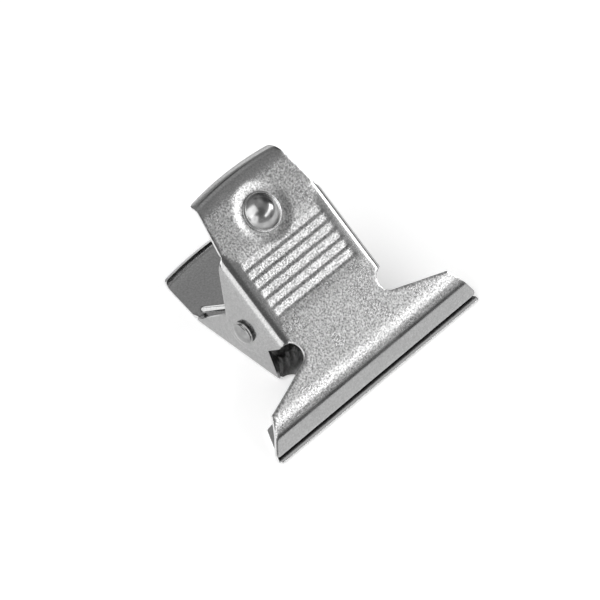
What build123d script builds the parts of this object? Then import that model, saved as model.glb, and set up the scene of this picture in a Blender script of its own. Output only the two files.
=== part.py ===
from build123d import *
from math import asin, atan2, ceil, cos, hypot, pi, radians, sin, tan
from typing import NamedTuple
import os

os.makedirs("parts", exist_ok=True)

# A bulldog clip lying closed on its back. Two pressed steel halves turn on one
# pin, and a torsion spring wound round the pin holds the jaws shut.
# +X runs along the pin, +Y towards the handles, +Z up. The origin is on the
# outer face of the rear plate, straight below the pin.

# Sheet and hinge, in millimetres and degrees. A hinge depth is measured from
# the outer face of a plate to the middle of the pin.
sheet = 0.6
front_hinge_depth = 7.4
rear_hinge_depth = 8.1
plates_angle = 35.0
ear_play = 0.15

# Handles, measured along each plate from the foot of the hinge
handle_length = 22.3
handle_end_width = 19.5
handle_base = 12.9
handle_base_width = 23.4
handle_corner = 0.9
front_handle_lip = 2.4
rear_handle_lip = 1.6
handle_lip_bend = 56.0
handle_lip_radius = 0.9
handle_bow = 0.6

# Ears, folded down from the sides of each plate
front_ears_width = 25.7
front_fold_radius = 2.0
rear_fold_radius = 1.1
front_ear_radius = 4.3
front_ear_foot = 5.9
rear_ear_radius = 3.5
rear_ear_foot = 7.5

# Jaws, measured along each plate the other way
jaw_width = 51.0
jaw_corner = 0.5
front_wing_width = 44.4
rear_wing_width = 43.1
wing_corner = 13.4
wing_rounding = 0.5
notch_radius = 2.25
notch_inset = 0.75
jaw_dip_start = 12.4
jaw_dip_end = 16.4
jaw_dip = 6.5
jaw_crease = 17.15
jaw_bend = 34.0
jaw_bend_radius = 1.5
jaw_gap = 0.1
rear_overhang = 1.6

# Finger grooves pressed into the front plate. Each falls gently towards the jaw
# and then steps back up.
groove_count = 6
groove_pitch = 1.88
groove_first = 9.88
groove_length = 20.0
groove_fall = 1.41
groove_step = 0.42
groove_depth = 0.2

# Domed rivet in the front handle, set in from the handle's bent end
rivet_inset = 7.65
rivet_rim_diameter = 7.4
rivet_rim = 0.25
rivet_dome_diameter = 6.6
rivet_height = 2.2
rivet_shank_diameter = 3.6
rivet_play = 0.05
rivet_tail_diameter = 5.4
rivet_tail = 0.9
dish_margin = 0.1
dish_slope_width = 0.9
dish_depth = 0.15

# Hinge pin
pin_diameter = 3.0
pin_play = 0.05
pin_head_diameter = 4.4
pin_head_rim = 0.8
pin_head_height = 1.35

# Torsion spring
wire = 1.3
coil_diameter = 5.4
coil_pitch = 1.75
coil_whole_turns = 10
leg_slope = 38.7
leg_gap = 0.15

# The outlines run this far past the sheared ends of the lips
outline_past = 0.02

# Each half has its own datum on its outer face: x along the pin, y along the
# plate towards the handle, z out of the plate.
hinge = Vector(0, 0, rear_hinge_depth)
opening = radians(plates_angle)
front_out = Vector(0, -sin(opening), cos(opening))
front_datum = Plane(hinge + front_out * front_hinge_depth, x_dir=(1, 0, 0), z_dir=front_out)
rear_datum = Plane((0, 0, 0), x_dir=(-1, 0, 0), z_dir=(0, 0, -1))

# The front plate dips gently before its crease
dip_middle = (jaw_dip_start + jaw_dip_end) / 2
dip_radius = (jaw_dip_end - jaw_dip_start) / 2 / tan(radians(jaw_dip / 2))
crease_dip = (jaw_crease - dip_middle) * tan(radians(jaw_dip))

# The front lip is as long as it takes to come down on the rear jaw
lip_bend = radians(jaw_bend)
crease_depth = front_hinge_depth - crease_dip
crease_height = rear_hinge_depth + crease_depth * cos(opening) - jaw_crease * sin(opening)
lip_drop = crease_height - sheet - jaw_gap
jaw_lip = (lip_drop - sheet * cos(opening + lip_bend)) / sin(opening + lip_bend)
front_reach = jaw_crease + jaw_lip * cos(lip_bend)

# The rear jaw is straight and ends just past the line where the front lip lands
landing_along = sheet * sin(lip_bend) - front_reach
landing_depth = crease_depth - jaw_lip * sin(lip_bend) - sheet * cos(lip_bend)
landing = landing_depth * sin(opening) - landing_along * cos(opening)
rear_reach = landing + rear_overhang


class Half(NamedTuple):
    """What differs between the two pressings."""

    datum: Plane
    hinge_depth: float
    handle_lip: float
    reach: float
    wing_width: float
    ears_width: float
    fold_radius: float
    ear_radius: float
    ear_foot: float


front = Half(
    front_datum,
    front_hinge_depth,
    front_handle_lip,
    front_reach,
    front_wing_width,
    front_ears_width,
    front_fold_radius,
    front_ear_radius,
    front_ear_foot,
)
rear = Half(
    rear_datum,
    rear_hinge_depth,
    rear_handle_lip,
    rear_reach,
    rear_wing_width,
    front_ears_width - 2 * sheet - 2 * ear_play,
    rear_fold_radius,
    rear_ear_radius,
    rear_ear_foot,
)


def side_plane(datum):
    """The plane square to the pin: x along the plate, y out of it."""
    return Plane(datum.origin, x_dir=datum.y_dir, z_dir=datum.x_dir)


def cross_plane(datum, along):
    """The plane square to the plate's length: x along the pin, y out of the plate."""
    origin = datum.from_local_coords(Vector(0, along, 0))
    return Plane(origin, x_dir=datum.x_dir, z_dir=-datum.y_dir)


def handle_reach(half):
    """How far the tip of the handle's turned-in lip lies along the plate."""
    return handle_length + half.handle_lip * cos(radians(handle_lip_bend))


def bent_sheet(half, jaw_line, jaw_radii):
    """A strip of sheet as wide as the jaw, bent along the outer line of its profile."""
    lip_tip = (handle_reach(half), -half.handle_lip * sin(radians(handle_lip_bend)))
    with BuildPart() as strip:
        with BuildSketch(side_plane(half.datum)):
            with BuildLine():
                radii = [handle_lip_radius] + jaw_radii
                FilletPolyline(lip_tip, (handle_length, 0), *jaw_line, radius=radii)
                offset(amount=sheet, side=Side.LEFT)
            make_face()
        extrude(amount=jaw_width / 2, both=True)
    return strip.part


def lip_trim(half):
    """What is sheared off the end of a handle's lip to leave it slightly bowed."""
    turn = radians(handle_lip_bend)
    along = half.datum.y_dir * cos(turn) - half.datum.z_dir * sin(turn)
    tip = half.datum.from_local_coords(Vector(0, handle_reach(half), -half.handle_lip * sin(turn)))
    corner = handle_end_width / 2
    with BuildPart() as trim:
        with BuildSketch(Plane(tip, x_dir=half.datum.x_dir, z_dir=half.datum.x_dir.cross(along))):
            with BuildLine():
                bow = ThreePointArc((-corner, -handle_bow), (0, 0), (corner, -handle_bow))
                Polyline(bow @ 1, (corner, sheet), (-corner, sheet), bow @ 0)
            make_face()
        extrude(amount=2 * sheet, both=True)
    return trim.part


def notch_place(half):
    """The middle of a relief notch, set so that its arc meets the waist at the ear's foot."""
    to_waist = half.fold_radius - notch_inset
    along = -half.ear_foot - (notch_radius**2 - to_waist**2) ** 0.5
    return half.ears_width / 2 - notch_inset, along


def blank(half):
    """The plan of one half, cut through: handle, waist and jaw."""
    waist = half.ears_width / 2 - half.fold_radius
    jog = handle_base_width / 2 - waist
    notch_across, notch_along = notch_place(half)
    wing_across = half.wing_width / 2
    # The edge of the wing leaves the relief notch as a tangent
    to_notch = hypot(notch_across - wing_across, notch_along + wing_corner)
    heading = atan2(notch_along + wing_corner, notch_across - wing_across)
    heading += asin(notch_radius / to_notch)
    tangent = (to_notch**2 - notch_radius**2) ** 0.5
    root = (wing_across + tangent * cos(heading), tangent * sin(heading) - wing_corner)
    handle_end = handle_reach(half) + outline_past
    jaw_end = -half.reach - outline_past
    with BuildPart() as plan:
        with BuildSketch(half.datum) as outline:
            with BuildLine():
                edge = Polyline(
                    (0, handle_end),
                    (handle_end_width / 2, handle_end),
                    (handle_base_width / 2, handle_base),
                    (waist, handle_base - jog),
                    (waist, notch_along),
                    root,
                    (wing_across, -wing_corner),
                    (jaw_width / 2, jaw_end),
                    (0, jaw_end),
                )
                mirror(edge, about=Plane.YZ)
            make_face()
            fillet(outline.vertices().group_by(Axis.Y)[-1], handle_corner)
            fillet(outline.vertices().group_by(Axis.Y)[0], jaw_corner)
            tips = outline.vertices().filter_by(lambda v: abs(v.Y + wing_corner) < outline_past)
            fillet(tips, wing_rounding)
        extrude(amount=2 * half.hinge_depth, both=True)
    return plan.part


def ears(half):
    """A channel folded down at both sides, trimmed to a rounded tab round the pin."""
    depth = half.hinge_depth + 2 * half.ear_radius
    top = handle_base + outline_past
    with BuildPart() as channel:
        with BuildSketch(cross_plane(half.datum, top)) as section:
            Rectangle(half.ears_width, depth, align=(Align.CENTER, Align.MAX))
            fillet(section.vertices().group_by(Axis.Y)[-1], half.fold_radius)
            with BuildSketch(mode=Mode.SUBTRACT) as hollow:
                with Locations((0, -sheet)):
                    Rectangle(half.ears_width - 2 * sheet, depth, align=(Align.CENTER, Align.MAX))
                fillet(hollow.vertices().group_by(Axis.Y)[-1], half.fold_radius - sheet)
        extrude(amount=top + half.ear_foot + half.ear_radius)
        with BuildSketch(side_plane(half.datum)):
            with BuildLine():
                Line((-half.ear_foot, 0), (handle_base, 0))
                CenterArc((0, -half.hinge_depth), half.ear_radius, 0, 360)
            make_hull()
        extrude(amount=half.ears_width, both=True, mode=Mode.INTERSECT)
    return channel.part


def punches(half):
    """What is punched out of one half: the relief notches and the bore for the pin."""
    across, along = notch_place(half)
    with BuildPart() as cutters:
        with BuildSketch(half.datum):
            with Locations((across, along), (-across, along)):
                Circle(notch_radius)
        extrude(amount=half.hinge_depth, both=True)
        with BuildSketch(side_plane(half.datum)):
            with Locations((0, -half.hinge_depth)):
                Circle(pin_diameter / 2 + pin_play)
        extrude(amount=half.ears_width, both=True)
    return cutters.part


def grooves(face, clear):
    """The finger grooves as long wedges below a face of the front plate, open for clear above it."""
    with BuildPart() as wedges:
        with BuildSketch(side_plane(front_datum)):
            for row in range(groove_count):
                start = groove_first - row * groove_pitch
                bottom = start - groove_fall
                end = bottom - groove_step
                with BuildLine():
                    Polyline(
                        (start, face + clear),
                        (start, face),
                        (bottom, face - groove_depth),
                        (end, face),
                        (end, face + clear),
                        close=True,
                    )
                make_face()
        extrude(amount=groove_length / 2, both=True)
    return wedges.part


def dish(face):
    """The shallow cone below a face of the front plate that the rivet is seated in."""
    seat = rivet_rim_diameter / 2 + dish_margin
    with BuildPart() as cone:
        with Locations(front_datum * Location((0, rivet_place, face - dish_depth))):
            Cone(
                seat,
                seat + 2 * dish_slope_width,
                2 * dish_depth,
                align=(Align.CENTER, Align.CENTER, Align.MIN),
            )
    return cone.part


# Front half: outer ears, finger grooves, rivet seat and the bent lip that closes the jaws
rivet_place = handle_length - rivet_inset
crease = (-jaw_crease, -crease_dip)
lip_edge = (-front_reach, -crease_dip - jaw_lip * sin(lip_bend))
front_jaw_line = [(-dip_middle, 0), crease, lip_edge]
with BuildPart() as front_plate:
    add(bent_sheet(front, front_jaw_line, [dip_radius, jaw_bend_radius]))
    add(blank(front), mode=Mode.INTERSECT)
    add(lip_trim(front), mode=Mode.SUBTRACT)
    add(ears(front))
    add(punches(front), mode=Mode.SUBTRACT)
    add(grooves(-sheet, sheet / 2))
    add(dish(-sheet))
    add(grooves(0, sheet / 2), mode=Mode.SUBTRACT)
    add(dish(0), mode=Mode.SUBTRACT)
    with Locations(front_datum):
        with Locations((0, rivet_place)):
            Hole(rivet_shank_diameter / 2 + rivet_play, depth=2 * sheet)
front_plate.part.label = "front_plate"
export_step(front_plate.part, "parts/front_plate.step")

# Rear half: inner ears and a plain flat plate right to the edge of its jaw
with BuildPart() as rear_plate:
    add(bent_sheet(rear, [(-rear_reach, 0)], []))
    add(blank(rear), mode=Mode.INTERSECT)
    add(lip_trim(rear), mode=Mode.SUBTRACT)
    add(ears(rear))
    add(punches(rear), mode=Mode.SUBTRACT)
rear_plate.part.label = "rear_plate"
export_step(rear_plate.part, "parts/rear_plate.step")

# Hinge pin: one shank with a low domed head seated on each outer ear
pin_end = front_ears_width / 2
with BuildPart() as hinge_pin:
    with BuildSketch(Plane(hinge, x_dir=(1, 0, 0), z_dir=(0, -1, 0))):
        with BuildLine():
            crown = TangentArc(
                (pin_end + pin_head_height, 0),
                (pin_end + pin_head_rim, pin_head_diameter / 2),
                tangent=(0, 1),
            )
            Polyline(
                crown @ 1,
                (pin_end, pin_head_diameter / 2),
                (pin_end, pin_diameter / 2),
                (0, pin_diameter / 2),
                (0, 0),
                crown @ 0,
            )
        make_face()
    revolve(axis=Axis(hinge, (1, 0, 0)))
    mirror(about=Plane.YZ)
hinge_pin.part.label = "hinge_pin"
export_step(hinge_pin.part, "parts/hinge_pin.step")

# Dome rivet: a rimmed dome outside, the shank through the sheet, an upset tail inside
rivet_plane = cross_plane(front_datum.offset(-dish_depth), rivet_place)
with BuildPart() as handle_rivet:
    with BuildSketch(rivet_plane):
        with BuildLine():
            crown = TangentArc(
                (0, rivet_height),
                (rivet_dome_diameter / 2, rivet_rim),
                tangent=(1, 0),
            )
            collar = Polyline(
                crown @ 1,
                (rivet_rim_diameter / 2, rivet_rim),
                (rivet_rim_diameter / 2, 0),
                (rivet_shank_diameter / 2, 0),
                (rivet_shank_diameter / 2, -sheet),
                (rivet_tail_diameter / 2, -sheet),
            )
            upset = TangentArc(
                collar @ 1,
                (rivet_tail_diameter / 2 - rivet_tail, -sheet - rivet_tail),
                tangent=(0, -1),
            )
            Polyline(upset @ 1, (0, -sheet - rivet_tail), crown @ 0)
        make_face()
    revolve(axis=Axis(rivet_plane.origin, front_datum.z_dir))
handle_rivet.part.label = "handle_rivet"
export_step(handle_rivet.part, "parts/handle_rivet.step")


# Torsion spring: one wire, a coil round the pin and a straight leg to each handle
coil_radius = coil_diameter / 2
rise = coil_pitch / (2 * pi)
first_angle = radians(90 - leg_slope)
turning = 2 * pi * coil_whole_turns + opening - 2 * first_angle
quarter_turns = ceil(turning / (pi / 2))
quarter = turning / quarter_turns


def coil_point(turned):
    """A point of the coil, and the heading of its wire there."""
    angle = first_angle + turned
    across = rise * (turned - turning / 2)
    point = hinge + Vector(across, coil_radius * cos(angle), coil_radius * sin(angle))
    heading = Vector(rise, -coil_radius * sin(angle), coil_radius * cos(angle))
    return point, heading.normalized()


def arc_joint(start, start_heading, end, end_heading):
    """Where the two arcs of a biarc meet, and the heading there."""
    span = end - start
    bend = 2 * (1 - start_heading.dot(end_heading))
    ahead = span.dot(start_heading + end_heading)
    reach = ((ahead**2 + bend * span.dot(span)) ** 0.5 - ahead) / bend
    before = start + start_heading * reach
    after = end - end_heading * reach
    return (before + after) / 2, (after - before).normalized()


def leg_length(half, fall):
    """A leg as long as it takes to lie leg_gap from the inner face of its plate."""
    end_half = wire / 2 * (1 - fall**2) ** 0.5
    height = half.hinge_depth + coil_radius * sin(first_angle) - sheet
    return (height - leg_gap - end_half) / fall


def least_gap(path, samples):
    """The least clear distance of the wire to itself, measured on points of its centre line."""
    points = [path.position_at(i / samples) for i in range(samples + 1)]
    half_turn = ceil(pi * coil_radius / path.length * samples)
    two_turns = 4 * half_turn
    nearest = min(
        (points[i] - points[j]).length
        for i in range(samples + 1)
        for j in range(i + half_turn, min(i + two_turns, samples + 1))
    )
    return nearest - wire


coil_start, start_heading = coil_point(0)
coil_end, end_heading = coil_point(turning)
rear_leg_tip = coil_start - start_heading * leg_length(rear, start_heading.Z)
front_leg_tip = coil_end + end_heading * leg_length(front, start_heading.Z)

with BuildPart() as torsion_spring:
    with BuildLine() as wire_line:
        Line(rear_leg_tip, coil_start)
        for step in range(quarter_turns):
            point, heading = coil_point(step * quarter)
            next_point, next_heading = coil_point((step + 1) * quarter)
            joint, joint_heading = arc_joint(point, heading, next_point, next_heading)
            TangentArc(point, joint, tangent=heading)
            TangentArc(joint, next_point, tangent=joint_heading)
        Line(coil_end, front_leg_tip)
    with BuildSketch(Plane(rear_leg_tip, z_dir=start_heading)):
        Circle(wire / 2)
    sweep(path=wire_line.wire())
torsion_spring.part.label = "torsion_spring"
export_step(torsion_spring.part, "parts/torsion_spring.step")

gap_samples = 900
print("least gap of the spring to itself:", round(least_gap(wire_line.wire(), gap_samples), 3), "mm")
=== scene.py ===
import bmesh
import bpy
import numpy as np
from math import acos, asin, atan2, ceil, cos, hypot, pi, radians, sin, tan
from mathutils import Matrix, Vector
from mathutils.geometry import delaunay_2d_cdt
from typing import NamedTuple


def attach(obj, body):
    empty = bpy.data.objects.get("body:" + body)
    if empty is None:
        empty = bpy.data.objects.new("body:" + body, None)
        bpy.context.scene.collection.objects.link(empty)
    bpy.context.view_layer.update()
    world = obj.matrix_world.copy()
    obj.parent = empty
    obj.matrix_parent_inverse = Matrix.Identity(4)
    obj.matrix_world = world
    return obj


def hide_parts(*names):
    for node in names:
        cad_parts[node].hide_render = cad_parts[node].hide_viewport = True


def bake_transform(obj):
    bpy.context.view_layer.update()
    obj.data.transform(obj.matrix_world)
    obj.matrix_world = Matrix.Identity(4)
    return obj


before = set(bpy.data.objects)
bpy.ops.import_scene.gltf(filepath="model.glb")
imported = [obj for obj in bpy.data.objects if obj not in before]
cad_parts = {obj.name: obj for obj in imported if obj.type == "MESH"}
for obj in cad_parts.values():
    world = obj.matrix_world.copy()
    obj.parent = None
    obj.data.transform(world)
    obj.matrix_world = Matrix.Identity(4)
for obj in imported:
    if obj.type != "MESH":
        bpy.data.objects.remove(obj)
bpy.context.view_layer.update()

# Everything below is in millimetres and degrees until a mesh is finished, in the
# part's own frame: +X along the pin, +Y towards the handles, +Z up.
MM = 0.001

# Sheet and hinge
sheet = 0.6
front_hinge_depth = 7.4
rear_hinge_depth = 8.1
plates_angle = 35.0
ear_play = 0.15

# Handles
handle_length = 22.3
handle_end_width = 19.5
handle_base = 12.9
handle_base_width = 23.4
handle_corner = 0.8
front_handle_lip = 2.4
rear_handle_lip = 1.6
handle_lip_bend = 56.0
rear_handle_lip_bend = 72.0
handle_lip_radius = 2.0
handle_bow = 0.7
handle_bow_level = 0.4
handle_bow_start = 2
handle_bow_fade = 4

# Ears
front_ears_width = 25.7
front_fold_radius = 2.0
fold_lead = 2.2
fold_lead_slope = 0.05
fold_lead_end = 0.8
fold_lead_foot = 0.2
fold_lead_foot_fade = 3
fold_run_out_start = 0.9
fold_run_out = 1.2
rear_fold_radius = 1.1
front_ear_radius = 4.3
front_ear_foot = 5.9
rear_ear_radius = 3.5
rear_ear_foot = 7.5

# Jaws
jaw_width = 51.0
jaw_corner = 0.6
front_wing_width = 44.4
rear_wing_width = 43.1
wing_corner = 13.4
wing_rounding = 0.5
notch_radius = 2.25
notch_inset = 0.75
jaw_dip_start = 12.4
jaw_dip_end = 16.4
jaw_dip = 6.5
jaw_crease = 17.15
jaw_bend = 34.0
jaw_gap = 0.1
rear_overhang = 1.6

# Finger grooves
groove_count = 6
groove_pitch = 1.88
groove_first = 9.88
groove_length = 20.0
groove_fall = 1.41
groove_step = 0.42
groove_depth = 0.095
groove_run_out = 1.0
groove_ease = 0.16
groove_bed = 0.045
groove_bed_fade = 1.8
groove_last = groove_first - groove_count * groove_pitch

# Rivet
rivet_inset = 7.65
rivet_rim_diameter = 7.4
rivet_rim = 0.25
rivet_dome_diameter = 6.6
rivet_height = 2.2
rivet_shank_diameter = 3.6
rivet_tail_diameter = 5.4
rivet_tail = 0.9
rivet_play = 0.05
dish_depth = 0.24
dish_inner = 3.8
dish_outer = 5.9

# Hinge pin
pin_diameter = 3.0
pin_play = 0.05
pin_head_diameter = 4.4
pin_head_rim = 0.75
pin_collar = 0.36
pin_groove = 0.3
pin_head_height = 1.35

# Torsion spring
wire = 1.3
coil_diameter = 5.4
coil_pitch = 1.75
coil_whole_turns = 10
leg_slope = 38.7
leg_gap = 0.15
wire_chamfer = 0.12

# Rounding of sheared and turned edges, and the sheet's roll over beside them
edge_round = 0.07
edge_roll = 0.5
edge_roll_depth = 0.07
rear_jaw_round = 0.5

# Where the grain of the front plate ends: past its folds' start, short of them at the ends of the
# grooves, at the jaw's crease and at the handle's lip
grain_past_fold = 0.4
grain_fade = 0.8
grain_end_calm = 1.5
grain_end_fade = 2
crease_calm = 0.6
lip_calm_start = 0.6
lip_calm = 1.5

# The rear jaw is burnished along its edge. Behind that, where the front jaw's lip closes over it, its
# colour is darkened as painted shade.
burnished_width = 0.62
burnished_fade = 0.1
jaw_lip_shade_width = 2.4
jaw_lip_shade_fade = 0.8

# How finely outlines and surfaces are cut
outline_step = 0.5
least_gap = 0.04
edge_gap = 0.1
hole_gap = 0.15
jaw_edge_margin = 0.05
hole_pieces = 40
fold_pieces = 14
lip_pieces = 10
plain_step = 0.7
grooved_step = 0.4
groove_row_step = 0.09
rear_edge_step = 0.12
turn_steps = 40
leg_steps = 14
wire_sides = 24
rivet_sides = 96
pin_sides = 64

opening = radians(plates_angle)
lip_bend = radians(jaw_bend)
dip = radians(jaw_dip)
dip_middle = (jaw_dip_start + jaw_dip_end) / 2
crease_depth = front_hinge_depth - (jaw_crease - dip_middle) * tan(dip)
crease_height = rear_hinge_depth + crease_depth * cos(opening) - jaw_crease * sin(opening)
lip_drop = crease_height - sheet - jaw_gap
jaw_lip = (lip_drop - sheet * cos(opening + lip_bend)) / sin(opening + lip_bend)
front_reach = jaw_crease + jaw_lip * cos(lip_bend)
landing_along = sheet * sin(lip_bend) - front_reach
landing_depth = crease_depth - jaw_lip * sin(lip_bend) - sheet * cos(lip_bend)
rear_reach = landing_depth * sin(opening) - landing_along * cos(opening) + rear_overhang
rivet_place = handle_length - rivet_inset

# The bends along the sheet laid flat, from the pin outwards: start, length and turn.
# The real sheet curls in more softly than its bend lines, and ends in about the same place.
lip_turn = radians(handle_lip_bend)
lip_start = handle_length - handle_lip_radius * tan(lip_turn / 2)
lip_length = handle_lip_radius * lip_turn
lip_lead = 2.0
lip_lead_length = 1.6
crease_ahead = 0.55
crease_start = jaw_crease - crease_ahead
crease_length = 1.0
jaw_bends = [
    (jaw_dip_start + 0.8, 1.8, 5.5),
    (jaw_dip_end - 1.4, 1.0, 8.0),
    (crease_start, crease_length, 14.5),
]
flat_reach = (-25, 28)
flat_samples = 10601
groove_reach = (-5, 15)
groove_samples = 4001
lead_samples = 301


class Half(NamedTuple):
    """What differs between the two pressings."""

    hinge_depth: float
    handle_lip: float
    handle_lip_bend: float
    jaw_bends: bool
    reach: float
    wing_width: float
    ears_width: float
    fold_radius: float
    ear_radius: float
    ear_foot: float
    grooves: bool


front = Half(
    hinge_depth=front_hinge_depth,
    handle_lip=front_handle_lip,
    handle_lip_bend=handle_lip_bend,
    jaw_bends=True,
    reach=front_reach,
    wing_width=front_wing_width,
    ears_width=front_ears_width,
    fold_radius=front_fold_radius,
    ear_radius=front_ear_radius,
    ear_foot=front_ear_foot,
    grooves=True,
)
rear = Half(
    hinge_depth=rear_hinge_depth,
    handle_lip=rear_handle_lip,
    handle_lip_bend=rear_handle_lip_bend,
    jaw_bends=False,
    reach=rear_reach,
    wing_width=rear_wing_width,
    ears_width=front_ears_width - 2 * sheet - 2 * ear_play,
    fold_radius=rear_fold_radius,
    ear_radius=rear_ear_radius,
    ear_foot=rear_ear_foot,
    grooves=False,
)


def to_row(half, places):
    """From a half's own datum (across, along, out of the plate) to the part's frame."""
    across, along, out = places.T
    if half is front:
        depth = front_hinge_depth + out
        y = along * cos(opening) - depth * sin(opening)
        z = rear_hinge_depth + along * sin(opening) + depth * cos(opening)
        return np.stack([across, y, z], 1)
    return np.stack([across, along, -out], 1)


def bent_line(half):
    """The outer line of the sheet from jaw to handle: flat length, place along, height and tilt."""
    flat = np.linspace(*flat_reach, flat_samples)
    tilt = np.zeros_like(flat)
    handle_bends = [
        (lip_start - lip_lead_length, lip_lead_length, lip_lead),
        (lip_start, lip_length, half.handle_lip_bend - lip_lead),
    ]
    for start, length, turn in handle_bends:
        tilt += np.clip((flat - start) / length, 0, 1) * radians(turn)
    if half.jaw_bends:
        for start, length, turn in jaw_bends:
            tilt -= np.clip((-flat - start) / length, 0, 1) * radians(turn)
    step = flat[1] - flat[0]

    def summed(slope):
        total = np.concatenate([[0], np.cumsum((slope[1:] + slope[:-1]) / 2 * step)])
        return total - np.interp(0, flat, total)

    return flat, summed(np.cos(tilt)), summed(-np.sin(tilt)), tilt


def eased(share):
    """From nought to one with a soft start and end."""
    share = np.clip(share, 0, 1)
    return share * share * (3 - 2 * share)


def pressed_in(across, along):
    """How far the finger grooves and the dish round the rivet sink the front plate."""
    line = np.linspace(*groove_reach, groove_samples)
    sunk = np.zeros_like(line)
    for row in range(groove_count):
        start = groove_first - row * groove_pitch
        bottom = start - groove_fall
        end = bottom - groove_step
        sunk += np.interp(line, [end, bottom, start], [0, groove_depth, 0])
    spread = np.ones(round(2 * groove_ease / (line[1] - line[0])))
    sunk = np.convolve(sunk, spread / len(spread), "same")
    # All of them lie in a shallow bed
    above = groove_first + groove_bed_fade - line
    below = line - groove_last + groove_bed_fade
    sunk += groove_bed * eased(above / groove_bed_fade) * eased(below / groove_bed_fade)
    run_out = eased((groove_length / 2 - np.abs(across)) / groove_run_out)
    from_rivet = np.hypot(across, along - rivet_place)
    dish = dish_depth * eased((dish_outer - from_rivet) / (dish_outer - dish_inner))
    return np.interp(along, line, sunk) * run_out + dish


def leaned(past):
    """How far the front plate leans over ahead of its folds, by the place past their start."""
    line = np.linspace(-fold_lead, fold_lead_end, lead_samples)
    slope = np.interp(line, [-fold_lead, 0, fold_lead_end], [0, fold_lead_slope, 0])
    return np.interp(past, line, np.cumsum(slope) * (line[1] - line[0]))


def bend(half, flat_points, deep):
    """Bends flat points of the sheet into the pressing, deep below its outer face."""
    flat_across, flat_along = flat_points.T
    flat, *line = bent_line(half)
    # The bend of the handle's lip is bowed like its end
    bowed = handle_bow * ((flat_across / (handle_end_width / 2)) ** 2 - handle_bow_level)
    bowed = bowed * np.clip((flat_along - handle_base - handle_bow_start) / handle_bow_fade, 0, 1)
    along, out, tilt = [np.interp(flat_along + bowed, flat, values) for values in line]
    along = along - bowed
    radius = half.fold_radius
    fold_start = half.ears_width / 2 - radius
    past = np.maximum(np.abs(flat_across) - fold_start, 0)
    # The fold runs out smoothly above the ears, and there is none in the wings
    fade = eased((handle_base + fold_run_out_start - flat_along) / fold_run_out)
    foot_margin = 0.01
    fade = fade * (flat_along > -half.ear_foot - foot_margin)
    least_fade = 1e-5
    curve = np.maximum(fade, least_fade) / radius
    angle = np.minimum(past * curve, pi / 2)
    straight = np.maximum(past - (pi / 2) / curve, 0)
    side = np.where(past > 0, fold_start + np.sin(angle) / curve, np.abs(flat_across))
    drop = (1 - np.cos(angle)) / curve + straight
    across = np.sign(flat_across) * side
    normal_across = np.sign(flat_across) * np.sin(angle)
    normal_out = np.cos(angle)
    lift = -drop
    if half.grooves:
        # The lean before the folds runs out towards the notches
        foot_fade = eased((flat_along + half.ear_foot - fold_lead_foot) / fold_lead_foot_fade)
        lean = leaned(side - fold_start) * fade * foot_fade
        lift = lift - pressed_in(flat_across, flat_along) - lean
    place = np.stack([across, along + lift * np.sin(tilt), out + lift * np.cos(tilt)], 1)
    normal = np.stack([normal_across, normal_out * np.sin(tilt), normal_out * np.cos(tilt)], 1)
    return place - np.reshape(deep, (-1, 1)) * normal


def arc(middle, radius, first, last, steps):
    """Points along an arc."""
    angles = np.linspace(first, last, steps)
    return [(middle[0] + radius * cos(a), middle[1] + radius * sin(a)) for a in angles]


def rounded(before, corner, after, radius, steps=7):
    """A corner of an outline, rounded off."""
    a = Vector(before) - Vector(corner)
    b = Vector(after) - Vector(corner)
    a.normalize()
    b.normalize()
    half_angle = acos(max(-1, min(1, a.dot(b)))) / 2
    middle = Vector(corner) + (a + b).normalized() * (radius / sin(half_angle))
    reach = radius / tan(half_angle)
    first = Vector(corner) + a * reach - middle
    last = Vector(corner) + b * reach - middle
    start = atan2(first.y, first.x)
    swing = atan2(last.y, last.x) - start
    swing = (swing + pi) % (2 * pi) - pi
    return arc(middle, radius, start, start + swing, steps)


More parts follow.
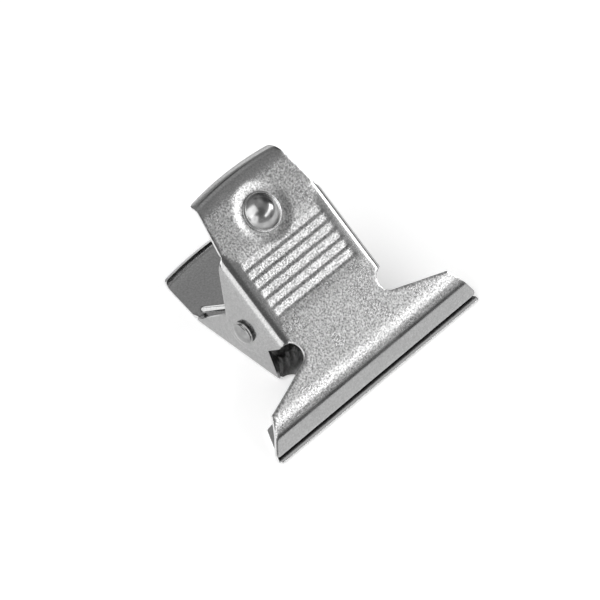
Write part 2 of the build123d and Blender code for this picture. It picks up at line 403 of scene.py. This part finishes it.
def side_outline(half):
    """One side of the flat outline of a half, from the end of its handle to the end of its jaw."""
    flat, placed, *_ = bent_line(half)
    tip = lip_start + lip_length + half.handle_lip - handle_lip_radius * tan(lip_turn / 2)
    handle_end = handle_length + half.handle_lip * cos(lip_turn)

    def handle_edge(length):
        along = np.interp(length, flat, placed)
        share = (along - handle_base) / (handle_end - handle_base)
        return (handle_base_width + (handle_end_width - handle_base_width) * share) / 2

    def bow(across):
        return tip - handle_bow * (across / (handle_end_width / 2)) ** 2

    corner = (handle_edge(tip - handle_bow), tip - handle_bow)
    corner_room = 1.2
    points = [(x, bow(x)) for x in np.linspace(0, corner[0] - corner_room, 20)]
    below = corner[1] - corner_room
    points += rounded(points[-1], corner, (handle_edge(below), below), handle_corner)
    points += [(handle_edge(s), s) for s in np.linspace(below, handle_base, 24)]

    # The ear in side view: tangents from both ends of the fold to a circle round the pin
    radius = half.fold_radius
    fold_start = half.ears_width / 2 - radius
    notch_across = half.ears_width / 2 - notch_inset
    to_waist = radius - notch_inset
    notch_along = -half.ear_foot - (notch_radius**2 - to_waist**2) ** 0.5

    def tangent_angle(end, way):
        span = hypot(end, half.hinge_depth)
        heading = atan2(-half.hinge_depth, -end)
        return heading + way * asin(half.ear_radius / span)

    def unfolded(depth):
        if depth < radius:
            return fold_start + radius * acos(1 - depth / radius)
        return half.ears_width / 2 + radius * (pi / 2 - 1) + depth - radius

    down = tangent_angle(handle_base, 1)
    up = tangent_angle(-half.ear_foot, -1)
    first = down + pi / 2
    last = up - pi / 2
    last -= 2 * pi * ceil((last - first) / (2 * pi))
    ear = arc((0, -half.hinge_depth), half.ear_radius, first, last, 40)
    ear_top, ear_end = ear[0], ear[-1]
    edge = [
        (handle_base + t * (ear_top[0] - handle_base), t * ear_top[1])
        for t in np.linspace(0.03, 0.98, 26)
    ]
    foot = [
        (ear_end[0] + t * (-half.ear_foot - ear_end[0]), (1 - t) * ear_end[1])
        for t in np.linspace(0.02, 1, 30)
    ]
    for along, out in edge + ear:
        points.append((unfolded(-out), along))
    for along, out in foot:
        depth = max(-out, 0)
        swung = min(depth / radius, 1)
        across = fold_start + radius * (1 - (1 - swung) ** 2) ** 0.5
        off = notch_radius**2 - (across - notch_across) ** 2
        cut = notch_along + max(off, 0) ** 0.5
        points.append((unfolded(depth), max(along, cut)))

    # The relief notch, and the wing that leaves it as a tangent
    wing = half.wing_width / 2
    to_notch = hypot(notch_across - wing, notch_along + wing_corner)
    heading = atan2(notch_along + wing_corner, notch_across - wing)
    heading += asin(notch_radius / to_notch)
    tangent = (to_notch**2 - notch_radius**2) ** 0.5
    root = (wing + tangent * cos(heading), tangent * sin(heading) - wing_corner)
    begin = atan2(-half.ear_foot - notch_along, fold_start - notch_across)
    end = atan2(root[1] - notch_along, root[0] - notch_across) + 2 * pi
    points += arc((notch_across, notch_along), notch_radius, begin, end, 26)[1:]

    def wing_edge(length):
        along = np.interp(length, flat, placed)
        share = (-wing_corner - along) / (half.reach - wing_corner)
        return wing + (jaw_width / 2 - wing) * share

    jaw_end = np.interp(-half.reach, placed, flat)
    past = -wing_corner - 1
    points += rounded(root, (wing, -wing_corner), (wing_edge(past), past), wing_rounding)
    points += [(wing_edge(s), s) for s in np.linspace(-wing_corner - 0.6, jaw_end + 1.3, 12)]
    points += rounded(points[-1], (wing_edge(jaw_end), jaw_end), (0, jaw_end), jaw_corner)
    points.append((0, jaw_end))
    return np.array(points)


def stepped(loop, step):
    """A closed loop with its long runs cut into short ones."""
    points = []
    for a, b in zip(loop, np.roll(loop, -1, 0)):
        pieces = max(1, ceil(np.hypot(*(b - a)) / step))
        points += [a + (b - a) * i / pieces for i in range(pieces)]
    return np.array(points)


def thinned(loop, least):
    """A loop without points that all but coincide."""
    kept = [loop[0]]
    for p in loop[1:]:
        if np.hypot(*(p - kept[-1])) > least:
            kept.append(p)
    return np.array(kept)


def inside(points, loop):
    """Which points lie inside a loop."""
    within = np.zeros(len(points), bool)
    for a, b in zip(loop, np.roll(loop, -1, 0)):
        spans = (a[1] > points[:, 1]) != (b[1] > points[:, 1])
        if a[1] != b[1]:
            cross = a[0] + (points[:, 1] - a[1]) / (b[1] - a[1]) * (b[0] - a[0])
            within ^= spans & (points[:, 0] < cross)
    return within


def clearance(points, loop):
    """How far points are from a loop."""
    least = np.full(len(points), np.inf)
    for a, b in zip(loop, np.roll(loop, -1, 0)):
        run = b - a
        t = np.clip(((points - a) @ run) / max(run @ run, 1e-12), 0, 1)
        least = np.minimum(least, np.hypot(*(points - a - t[:, None] * run).T))
    return least


def ruled(marks, fine):
    """Lines through all marks, each stretch cut to its own step."""
    lines = []
    for (a, b), step in zip(zip(marks, marks[1:]), fine):
        lines += list(np.linspace(a, b, max(1, ceil((b - a) / step)) + 1)[:-1])
    return np.array(lines + [marks[-1]])


def pressing(name, half, holes):
    """A pressed half: a flat outline filled with triangles, bent, and given its thickness."""
    side = side_outline(half)
    mirrored = side[::-1] * np.array([-1, 1])
    loop = thinned(stepped(np.concatenate([side, mirrored[1:-1]]), outline_step), least_gap)
    jaw_end = loop[:, 1].min()
    rings = []
    for across, along, radius in holes:
        turns = np.linspace(0, 2 * pi, hole_pieces + 1)[:-1]
        rings.append(np.stack([across + radius * np.cos(turns), along + radius * np.sin(turns)], 1))

    radius = half.fold_radius
    fold_start = half.ears_width / 2 - radius
    fold_end = fold_start + radius * pi / 2
    widest = max(np.abs(loop[:, 0]))
    middle_step = grooved_step if half.grooves else plain_step
    fold_step = radius * pi / 2 / fold_pieces
    columns = ruled([0, fold_start, fold_end, widest], [middle_step, fold_step, plain_step])
    columns = np.concatenate([-columns[:0:-1], columns])
    # Rows across the sheet, closer together where it is bent, pressed in or rounded
    lip_end = lip_start + lip_length
    marks = [jaw_end, -jaw_dip_start, jaw_dip_start, lip_start, lip_end, loop[:, 1].max()]
    steps = [0.6, 0.6, 0.5, lip_length / lip_pieces, 0.4]
    if half is rear:
        marks[1:1] = [jaw_end + jaw_lip_shade_width]
        steps[0:1] = [rear_edge_step, 0.6]
    if half.grooves:
        marks[1:3] = [groove_last - groove_ease, groove_first + groove_ease]
        steps[1] = groove_row_step
    if half.jaw_bends:
        crease_end = crease_start + crease_length
        marks[1:1] = [-crease_end, -crease_start, -jaw_dip_start]
        steps[0:1] = [0.5, 0.085, 0.25, 0.6]
    rows = ruled(marks, steps)
    grid = np.array(np.meshgrid(columns, rows)).reshape(2, -1).T
    grid = grid[inside(grid, loop)]
    grid = grid[clearance(grid, loop) > edge_roll + edge_gap]
    # Lines along the edge, which follow its roll over
    slack = 0.93
    run = np.roll(loop, -1, 0) - np.roll(loop, 1, 0)
    inward = np.stack([run[:, 1], -run[:, 0]], 1) / np.hypot(*run.T)[:, None]
    for share in (0.33, 0.67, 1):
        line = loop + inward * edge_roll * share
        line = line[inside(line, loop)]
        line = line[clearance(line, loop) > edge_roll * share * slack]
        grid = np.concatenate([grid, line])
    for ring in rings:
        grid = grid[~inside(grid, ring)]
        grid = grid[clearance(grid, ring) > hole_gap]

    points = [loop] + rings + [grid]
    edges = []
    start = 0
    for ring in points[:-1]:
        n = len(ring)
        edges += [(start + i, start + (i + 1) % n) for i in range(n)]
        start += n
    flat = [Vector(p) for p in np.concatenate(points)]
    placed, _, faces, *_ = delaunay_2d_cdt(flat, edges, [], 1, 1e-5)
    placed = np.array([tuple(p) for p in placed])
    middles = np.array([placed[list(f)].mean(0) for f in faces])
    keep = np.ones(len(faces), bool)
    for ring in rings:
        keep &= ~inside(middles, ring)
    faces = [tuple(f) for f, k in zip(faces, keep) if k]

    count = len(placed)
    roll = np.clip(1 - clearance(placed, loop) / edge_roll, 0, 1) ** 2 * edge_roll_depth
    outer = to_row(half, bend(half, placed, roll))
    inner = to_row(half, bend(half, placed, sheet))
    uses = {}
    for f in faces:
        for a, b in zip(f, f[1:] + f[:1]):
            uses[(a, b)] = 1
    rim = [(a, b) for a, b in uses if (b, a) not in uses]
    solid = faces + [tuple(i + count for i in f[::-1]) for f in faces]
    solid += [(b, a, a + count, b + count) for a, b in rim]

    # The plate is grainy, and its ears, lips and margins beside the grooves are smooth
    across, along = placed.T
    calmed = eased((groove_first + grain_end_fade - along) / grain_end_fade)
    calmed *= eased((along - groove_last + grain_end_fade) / grain_end_fade)
    grain_edge = fold_start + grain_past_fold - grain_end_calm * calmed
    grain = np.clip((grain_edge - np.abs(across)) / grain_fade, 0, 1)
    grain = np.where(along < -half.ear_foot, 1, grain) * half.grooves
    grain *= np.clip((along + crease_start + crease_calm / 2) / crease_calm, 0, 1)
    grain *= np.clip((lip_start - lip_calm_start - along) / lip_calm, 0, 1)

    # The edges are sheared bright, and the top of the rear jaw's edge is rounded most
    from_edge = along - jaw_end
    burnished = np.clip((burnished_width - from_edge) / burnished_fade, 0, 1) * (half is rear)
    # Painted shade on the rear jaw, behind its burnished edge, where the front jaw's lip closes over it
    jaw_lip_shade = np.clip((from_edge - burnished_width) / burnished_fade, 0, 1) * (half is rear)
    jaw_lip_shade *= np.clip((jaw_lip_shade_width - from_edge) / jaw_lip_shade_fade, 0, 1)
    sheared = np.zeros(len(solid))
    sheared[2 * len(faces) :] = 1
    rounding = {}
    for a, b in rim:
        rounding[frozenset((a, b))] = edge_round
        at_jaw = max(from_edge[a], from_edge[b]) < jaw_edge_margin
        inner_round = rear_jaw_round if at_jaw and half is rear else edge_round
        rounding[frozenset((a + count, b + count))] = inner_round
    mesh = raw_mesh(name, np.concatenate([outer, inner]), solid)
    for kind, values in [("grain", grain), ("burnished", burnished), ("jaw_lip_shade", jaw_lip_shade)]:
        layer = mesh.attributes.new(kind, "FLOAT", "POINT")
        layer.data.foreach_set("value", np.tile(values, 2))
    mesh.attributes.new("sheared", "FLOAT", "FACE").data.foreach_set("value", sheared)
    widths = [rounding.get(frozenset(e.vertices), 0) / rear_jaw_round for e in mesh.edges]
    mesh.attributes.new("bevel_weight_edge", "FLOAT", "EDGE").data.foreach_set("value", widths)
    return finished(name, mesh, rear_jaw_round)


def raw_mesh(name, places, faces):
    """A smooth closed mesh in millimetres."""
    mesh = bpy.data.meshes.new(name + "_raw")
    mesh.from_pydata([tuple(p) for p in places], [], faces)
    shape = bmesh.new()
    shape.from_mesh(mesh)
    bmesh.ops.recalc_face_normals(shape, faces=shape.faces)
    shape.to_mesh(mesh)
    shape.free()
    mesh.polygons.foreach_set("use_smooth", [True] * len(mesh.polygons))
    return mesh


def finished(name, mesh, rounding):
    """An object in metres, with the edges that bear a weight rounded off."""
    raw = bpy.data.objects.new(name + "_raw", mesh)
    bpy.context.scene.collection.objects.link(raw)
    if rounding:
        soft = raw.modifiers.new("edges", "BEVEL")
        soft.width = rounding
        soft.segments = 3
        soft.limit_method = "WEIGHT"
        soft.harden_normals = True
        soft.use_clamp_overlap = True
    graph = bpy.context.evaluated_depsgraph_get()
    done = bpy.data.meshes.new_from_object(raw.evaluated_get(graph))
    bpy.data.objects.remove(raw)
    for v in done.vertices:
        v.co *= MM
    piece = bpy.data.objects.new(name, done)
    done.name = name
    bpy.context.scene.collection.objects.link(piece)
    return piece


def turned(profile, segments):
    """The faces of a profile turned round an axis: its first and last points lie on the axis."""
    places = [(profile[0][0], 0, 0)]
    for reach, radius in profile[1:-1]:
        for i in range(segments):
            a = 2 * pi * i / segments
            places.append((reach, radius * cos(a), radius * sin(a)))
    places.append((profile[-1][0], 0, 0))
    last = len(places) - 1
    rings = len(profile) - 2
    faces = []
    for i in range(segments):
        j = (i + 1) % segments
        faces.append((0, 1 + j, 1 + i))
        for r in range(rings - 1):
            a = 1 + r * segments
            faces.append((a + i, a + j, a + segments + j, a + segments + i))
        a = 1 + (rings - 1) * segments
        faces.append((a + i, a + j, last))
    return np.array(places), faces


def cap(height, rim_height, rim_radius, steps):
    """A dome as (height, radius) points, from its middle to its rim."""
    rise = height - rim_height
    ball = (rim_radius**2 + rise**2) / (2 * rise)
    spread = asin(rim_radius / ball)
    angles = np.linspace(0, spread, steps)
    return [(height - ball + ball * cos(a), ball * sin(a)) for a in angles]


def rivet():
    """The dome, its rim, the shank through the plate and the upset tail."""
    head = cap(rivet_height, rivet_rim, rivet_dome_diameter / 2, 28)
    ease = 0.1
    corner = 0.03
    valley = 0.12
    profile = head + [
        (rivet_rim + corner, rivet_dome_diameter / 2 + valley),
        (rivet_rim, rivet_rim_diameter / 2 - ease),
        (rivet_rim - corner, rivet_rim_diameter / 2 - corner),
        (rivet_rim - ease, rivet_rim_diameter / 2),
        (0, rivet_rim_diameter / 2),
        (0, rivet_shank_diameter / 2),
        (-sheet, rivet_shank_diameter / 2),
        (-sheet, rivet_tail_diameter / 2),
    ]
    tail = [
        (-sheet - rivet_tail * sin(a), rivet_tail_diameter / 2 - rivet_tail * (1 - cos(a)))
        for a in np.linspace(0, pi / 2, 9)[1:]
    ]
    profile += tail + [(-sheet - rivet_tail, 0)]
    places, faces = turned(profile, rivet_sides)
    lifted = np.stack([places[:, 1], rivet_place + places[:, 2], places[:, 0] - dish_depth], 1)
    return finished("dome_rivet", raw_mesh("dome_rivet", to_row(front, lifted), faces), 0)


def pin():
    """A pin with two domed heads, each with a groove under its rim and a thin collar."""
    end = front_ears_width / 2
    edge = pin_head_diameter / 2
    dome_inset = 0.16
    dome = cap(pin_head_height, pin_head_rim, edge - dome_inset, 18)
    # From the rim to the ear: height above the ear, and inset from the edge
    under = [
        (pin_head_rim - 0.05, 0.12),
        (pin_head_rim - 0.12, 0.14),
        (pin_head_rim - 0.18, pin_groove),
        (pin_collar + 0.02, pin_groove),
        (pin_collar, 0.04),
        (pin_collar - 0.05, 0),
        (pin_collar - 0.1, 0),
        (pin_collar - 0.15, 0.04),
        (pin_collar - 0.17, pin_groove),
        (0, pin_groove),
        (0, edge - pin_diameter / 2),
    ]
    head = [(end + height, radius) for height, radius in dome]
    head += [(end + height, edge - inset) for height, inset in under]
    other = [(-reach, radius) for reach, radius in head[::-1]]
    places, faces = turned(head + other, pin_sides)
    lifted = places + np.array([0, 0, rear_hinge_depth])
    return finished("headed_pin", raw_mesh("headed_pin", lifted, faces), 0)


def spring():
    """One wire: a leg to the rear handle, the coil, and a leg to the front handle."""
    coil_radius = coil_diameter / 2
    rise = coil_pitch / (2 * pi)
    first_angle = radians(90 - leg_slope)
    turning = 2 * pi * coil_whole_turns + opening - 2 * first_angle
    turned_by = np.linspace(0, turning, coil_whole_turns * turn_steps + 1)
    angle = first_angle + turned_by
    coil = np.stack(
        [
            rise * (turned_by - turning / 2),
            coil_radius * np.cos(angle),
            rear_hinge_depth + coil_radius * np.sin(angle),
        ],
        1,
    )

    def heading(a):
        way = np.array([rise, -coil_radius * sin(a), coil_radius * cos(a)])
        return way / np.linalg.norm(way)

    start = heading(first_angle)
    finish = heading(first_angle + turning)
    fall = start[2]
    end_half = wire / 2 * (1 - fall**2) ** 0.5

    def leg(half):
        height = half.hinge_depth + coil_radius * sin(first_angle) - sheet
        return (height - leg_gap - end_half) / fall

    shares = np.linspace(0, 1, leg_steps + 1)[1:]
    rear_leg = [coil[0] - start * leg(rear) * t for t in shares[::-1]]
    front_leg = [coil[-1] + finish * leg(front) * t for t in shares]
    line = np.concatenate([rear_leg, coil, front_leg])
    ways = np.gradient(line, axis=0)
    ways /= np.linalg.norm(ways, axis=1)[:, None]
    side = np.cross(ways[0], [1, 0, 0])
    side /= np.linalg.norm(side)
    ring = np.linspace(0, 2 * pi, wire_sides + 1)[:-1]
    # Each station: point of the line, shift along it, and radius
    last = len(line) - 1
    stations = [(0, 0, wire / 2 - wire_chamfer), (0, wire_chamfer, wire / 2)]
    stations += [(i, 0, wire / 2) for i in range(1, last)]
    stations += [(last, -wire_chamfer, wire / 2), (last, 0, wire / 2 - wire_chamfer)]
    places = []
    for i, shift, radius in stations:
        side = side - ways[i] * (side @ ways[i])
        side /= np.linalg.norm(side)
        other = np.cross(ways[i], side)
        middle = line[i] + ways[i] * shift
        places += [middle + radius * (np.cos(a) * side + np.sin(a) * other) for a in ring]
    n = wire_sides
    faces = []
    for r in range(len(stations) - 1):
        for i in range(n):
            j = (i + 1) % n
            faces.append((r * n + i, r * n + j, (r + 1) * n + j, (r + 1) * n + i))
    faces.append(tuple(range(n))[::-1])
    faces.append(tuple((len(stations) - 1) * n + i for i in range(n)))
    wound = finished("spring_wire", raw_mesh("spring_wire", np.array(places), faces), 0)
    return wound, coil[0][0], coil[-1][0]


# Materials: the stretch of the noise that shows, and the smaller one on smooth sheet
noise_low = 0.3
noise_high = 0.7
calm_low = 0.36
calm_high = 0.56


def node(tree, kind, **values):
    """A new node with its sockets or settings filled in."""
    made = tree.nodes.new(kind)
    for name, value in values.items():
        if name in made.inputs:
            made.inputs[name].default_value = value
        else:
            setattr(made, name, value)
    return made


def steel(name, dark, light, low, high, scale, depth, patch):
    """Plated steel: a fine grain in its tone and surface, and broad soft patches in its gloss."""
    made = bpy.data.materials.new(name)
    made.use_nodes = True
    tree = made.node_tree
    shader = tree.nodes["Principled BSDF"]
    shader.inputs["Metallic"].default_value = 1.0
    place = node(tree, "ShaderNodeTexCoord")
    fine = node(tree, "ShaderNodeTexNoise", Scale=scale, Detail=1.0, Roughness=0.5)
    broad = node(tree, "ShaderNodeTexNoise", Scale=patch, Detail=2.0)
    tone = node(tree, "ShaderNodeValToRGB")
    tone.color_ramp.elements[0].position = noise_low
    tone.color_ramp.elements[0].color = (*dark, 1)
    tone.color_ramp.elements[1].position = noise_high
    tone.color_ramp.elements[1].color = (*light, 1)
    gloss = node(tree, "ShaderNodeMapRange")
    gloss.inputs["From Min"].default_value = noise_low
    gloss.inputs["From Max"].default_value = noise_high
    gloss.inputs["To Min"].default_value = low
    gloss.inputs["To Max"].default_value = high
    bump = node(tree, "ShaderNodeBump", Strength=1.0, Distance=depth)
    tree.links.new(place.outputs["Object"], fine.inputs["Vector"])
    tree.links.new(place.outputs["Object"], broad.inputs["Vector"])
    tree.links.new(fine.outputs["Fac"], tone.inputs["Fac"])
    tree.links.new(fine.outputs["Fac"], bump.inputs["Height"])
    tree.links.new(broad.outputs["Fac"], gloss.inputs["Value"])
    tree.links.new(tone.outputs["Color"], shader.inputs["Base Color"])
    tree.links.new(gloss.outputs["Result"], shader.inputs["Roughness"])
    tree.links.new(bump.outputs["Normal"], shader.inputs["Normal"])
    return made, tone, fine, gloss, bump


def sheet_steel(name, rough, bare, shade_colour, **plating):
    """Plated sheet: smooth where it was drawn, rougher where it is grainy, bare on its sheared edges,
    and darkened by painted shade where the front jaw's lip closes over the rear jaw.
    """
    made, tone, fine, gloss, bump = steel(name, **plating)
    tree = made.node_tree
    shader = tree.nodes["Principled BSDF"]
    grain = node(tree, "ShaderNodeAttribute", attribute_name="grain")
    calm = node(tree, "ShaderNodeMapRange")
    calm.inputs["To Min"].default_value = calm_low
    calm.inputs["To Max"].default_value = calm_high
    tree.links.new(fine.outputs["Fac"], calm.inputs["Value"])
    surface = node(tree, "ShaderNodeMix", data_type="FLOAT")
    tree.links.new(grain.outputs["Fac"], surface.inputs[0])
    tree.links.new(calm.outputs["Result"], surface.inputs[2])
    tree.links.new(fine.outputs["Fac"], surface.inputs[3])
    tree.links.new(surface.outputs[0], tone.inputs["Fac"])
    tree.links.new(surface.outputs[0], bump.inputs["Height"])
    rougher = node(tree, "ShaderNodeMath", operation="MULTIPLY_ADD")
    rougher.inputs[1].default_value = rough
    tree.links.new(grain.outputs["Fac"], rougher.inputs[0])
    tree.links.new(gloss.outputs["Result"], rougher.inputs[2])
    tree.links.new(rougher.outputs["Value"], shader.inputs["Roughness"])
    sheared = node(tree, "ShaderNodeAttribute", attribute_name="sheared")
    edged = node(tree, "ShaderNodeMix", data_type="RGBA")
    edged.inputs[7].default_value = (*bare, 1)
    burnished = node(tree, "ShaderNodeAttribute", attribute_name="burnished")
    bared = node(tree, "ShaderNodeMath", operation="MAXIMUM")
    tree.links.new(sheared.outputs["Fac"], bared.inputs[0])
    tree.links.new(burnished.outputs["Fac"], bared.inputs[1])
    tree.links.new(bared.outputs["Value"], edged.inputs[0])
    tree.links.new(tone.outputs["Color"], edged.inputs[6])
    # Painted shade: the rear jaw's band under the front jaw's lip takes the shade colour
    jaw_lip_shade = node(tree, "ShaderNodeAttribute", attribute_name="jaw_lip_shade")
    shade_mix = node(tree, "ShaderNodeMix", data_type="RGBA")
    shade_mix.inputs[7].default_value = (*shade_colour, 1)
    tree.links.new(jaw_lip_shade.outputs["Fac"], shade_mix.inputs[0])
    tree.links.new(edged.outputs[2], shade_mix.inputs[6])
    tree.links.new(shade_mix.outputs[2], shader.inputs["Base Color"])
    return made


def grey(level):
    return (level, level, level)


satin = sheet_steel(
    "satin_nickel",
    rough=0.1,
    bare=grey(0.72),
    # the colour of the painted shade under the front jaw's lip
    shade_colour=grey(0.1),
    dark=grey(0.22),
    light=grey(0.66),
    low=0.15,
    high=0.21,
    scale=3000,
    depth=0.000016,
    patch=160,
)
polish = {"scale": 900, "depth": 0.000002, "patch": 120}
drawing = {"scale": 2000, "depth": 0.000002, "patch": 200}
mirror, *_ = steel("mirror_nickel", grey(0.34), grey(0.43), low=0.2, high=0.27, **polish)
bright, *_ = steel("polished_nickel", grey(0.28), grey(0.38), low=0.06, high=0.11, **polish)
drawn, *_ = steel("spring_wire", grey(0.66), grey(0.8), low=0.04, high=0.08, **drawing)

# Pieces
front_bore = front_ears_width / 2 + front_fold_radius * (pi / 2 - 2) + front_hinge_depth
front_bore -= fold_lead_slope * (fold_lead + fold_lead_end) / 2
rear_bore = rear.ears_width / 2 + rear_fold_radius * (pi / 2 - 2) + rear_hinge_depth
bore_radius = pin_diameter / 2 + pin_play
front_holes = [(front_bore, 0, bore_radius), (-front_bore, 0, bore_radius)]
front_holes.append((0, rivet_place, rivet_shank_diameter / 2 + rivet_play))
rear_holes = [(rear_bore, 0, bore_radius), (-rear_bore, 0, bore_radius)]

pieces = [
    (pressing("front_pressing", front, front_holes), "front", "front_plate", satin, "plate_steel"),
    (pressing("rear_pressing", rear, rear_holes), "rear", "rear_plate", satin, "plate_steel"),
    (rivet(), "front", "handle_rivet", mirror, "bright_nickel"),
    (pin(), "front", "hinge_pin", bright, "bright_nickel"),
]
for piece, body, cad_node, material, slot in pieces:
    piece.data.materials.append(material)
    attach(piece, body)
    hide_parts(cad_node)

coil, coil_left, coil_right = spring()
coil.data.materials.append(drawn)
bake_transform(coil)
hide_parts("torsion_spring")

# Floor, a hair below the clip: white paper that glows a little
ground = bpy.data.meshes.new("floor")
half_floor = 3.0
drop = -0.00002
corners = [(-1, -1), (1, -1), (1, 1), (-1, 1)]
ground.from_pydata([(x * half_floor, y * half_floor, drop) for x, y in corners], [], [(0, 1, 2, 3)])
floor = bpy.data.objects.new("floor", ground)
bpy.context.scene.collection.objects.link(floor)
paper = bpy.data.materials.new("floor_paper")
paper.use_nodes = True
surface = paper.node_tree.nodes["Principled BSDF"].inputs
surface["Base Color"].default_value = (*grey(0.95), 1)
surface["Roughness"].default_value = 0.9
surface["Emission Color"].default_value = (*grey(1), 1)
surface["Emission Strength"].default_value = 0.32
ground.materials.append(paper)


# Light: a grey room with darker and lighter parts, and soft boxes
def bearing(azimuth, elevation):
    """The direction of a bearing round the clip: nought is straight in front of the jaws."""
    a, e = radians(azimuth), radians(elevation)
    return Vector((sin(a) * cos(e), -cos(a) * cos(e), sin(e)))


room_light = 0.38
# Each part of the room: azimuth, elevation, inner and outer spread, and what it adds
room_parts = [
    (-25, 54, 14, 40, -0.2),
    (120, 56, 4, 18, 0.16),
    (102, 30, 10, 30, -0.3),
    (146, 39, 3, 9, -0.3),
    (83, 11, 5, 14, -0.34),
    (28, 5, 4, 13, -0.28),
]
world = bpy.data.worlds.new("studio")
world.use_nodes = True
sky = world.node_tree
around = node(sky, "ShaderNodeTexCoord")
total = None
for azimuth, elevation, inner, outer, amount in room_parts:
    facing = node(sky, "ShaderNodeVectorMath", operation="DOT_PRODUCT")
    facing.inputs[1].default_value = bearing(azimuth, elevation)
    sky.links.new(around.outputs["Generated"], facing.inputs[0])
    part = node(sky, "ShaderNodeMapRange", interpolation_type="SMOOTHSTEP")
    part.inputs["From Min"].default_value = cos(radians(outer))
    part.inputs["From Max"].default_value = cos(radians(inner))
    part.inputs["To Min"].default_value = 0 if total else room_light
    part.inputs["To Max"].default_value = amount if total else room_light + amount
    sky.links.new(facing.outputs["Value"], part.inputs["Value"])
    level = part.outputs["Result"]
    if total:
        both = node(sky, "ShaderNodeMath", operation="ADD", use_clamp=True)
        sky.links.new(total, both.inputs[0])
        sky.links.new(level, both.inputs[1])
        level = both.outputs["Value"]
    total = level
sky.links.new(total, sky.nodes["Background"].inputs["Strength"])
sky.nodes["Background"].inputs["Color"].default_value = (*grey(1), 1)
bpy.context.scene.world = world


def softbox(name, azimuth, elevation, wide, tall, brightness):
    """A soft rectangle of light that faces the clip, by its bearing, its width and height as angles,
    and its radiance."""
    distance = 0.7
    lamp = bpy.data.lights.new(name, "AREA")
    lamp.shape = "RECTANGLE"
    lamp.size = 2 * distance * tan(radians(wide / 2))
    lamp.size_y = 2 * distance * tan(radians(tall / 2))
    lamp.energy = brightness * pi * lamp.size * lamp.size_y
    light = bpy.data.objects.new(name, lamp)
    away = bearing(azimuth, elevation)
    light.location = away * distance
    light.rotation_euler = away.to_track_quat("Z", "Y").to_euler()
    bpy.context.scene.collection.objects.link(light)


softbox("window", -107, 48, 46, 60, 1.75)
softbox("front_strip", 26, 33, 54, 11, 3.0)
softbox("right_low", 65, 25, 20, 20, 4.4)
softbox("left_low", -68, 20, 36, 40, 1.6)
softbox("back_low", 150, 12, 36, 14, 0.9)

# Camera, at the viewing angle of the photograph
view_azimuth = -47.02
view_elevation = 49.52
view_distance = 824.2
pixels_per_mm = 5.7543
origin_pixel = (295.9, 320.38)
image_size = 600
sensor = 36.0
lens = pixels_per_mm * view_distance / image_size * sensor

toward = bearing(view_azimuth, view_elevation)
right = Vector((cos(radians(view_azimuth)), sin(radians(view_azimuth)), 0))
up = toward.cross(right)
aim = right * (image_size / 2 - origin_pixel[0]) / pixels_per_mm
aim += up * (origin_pixel[1] - image_size / 2) / pixels_per_mm
eye = bpy.data.cameras.new("camera")
eye.lens = lens
eye.sensor_width = sensor
eye.clip_start = 0.01
eye.clip_end = 20
camera = bpy.data.objects.new("camera", eye)
camera.location = (aim + toward * view_distance) * MM
camera.rotation_euler = toward.to_track_quat("Z", "Y").to_euler()
bpy.context.scene.collection.objects.link(camera)
bpy.context.scene.camera = camera
bpy.context.scene.view_settings.view_transform = "Standard"
